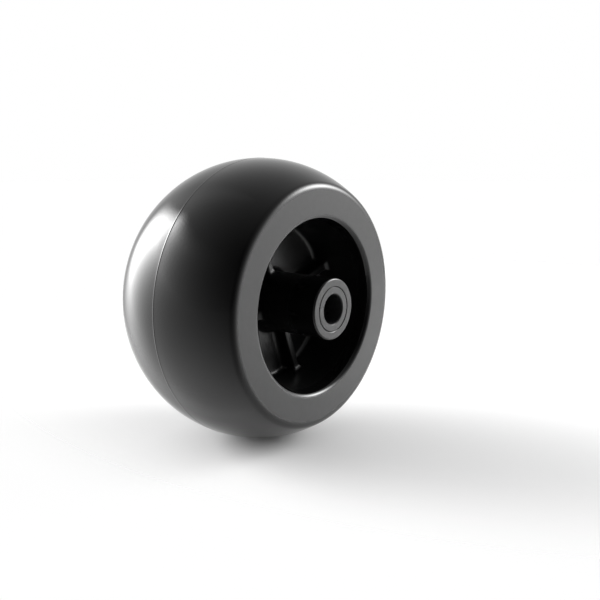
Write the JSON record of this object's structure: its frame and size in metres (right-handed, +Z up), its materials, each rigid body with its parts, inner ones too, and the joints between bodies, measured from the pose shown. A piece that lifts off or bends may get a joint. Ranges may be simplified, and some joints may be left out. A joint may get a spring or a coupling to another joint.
{
  "type": "mower deck gauge wheel",
  "caption": "Wide black moulded wheel with a crowned tread, ribbed recesses and a proud hub with bushes; turns on an axle bolt and keeps a mower deck off the turf.",
  "frame": {"origin": "centre of the wheel, on the axle line midway between the two side faces", "axes": "+Y along the axle away from the side the picture shows, +Z up from the ground that the tread stands on, +X the rolling direction"},
  "size_m": [0.127, 0.0828, 0.127],
  "materials": {
    "wheel_plastic": "satin-gloss moulded polyethylene",
    "bush_plastic": "satin nylon"
  },
  "bodies": {
    "root": {"wheel": "wheel_plastic", "bush_near": "bush_plastic", "bush_far": "bush_plastic"}
  },
  "joints": []
}
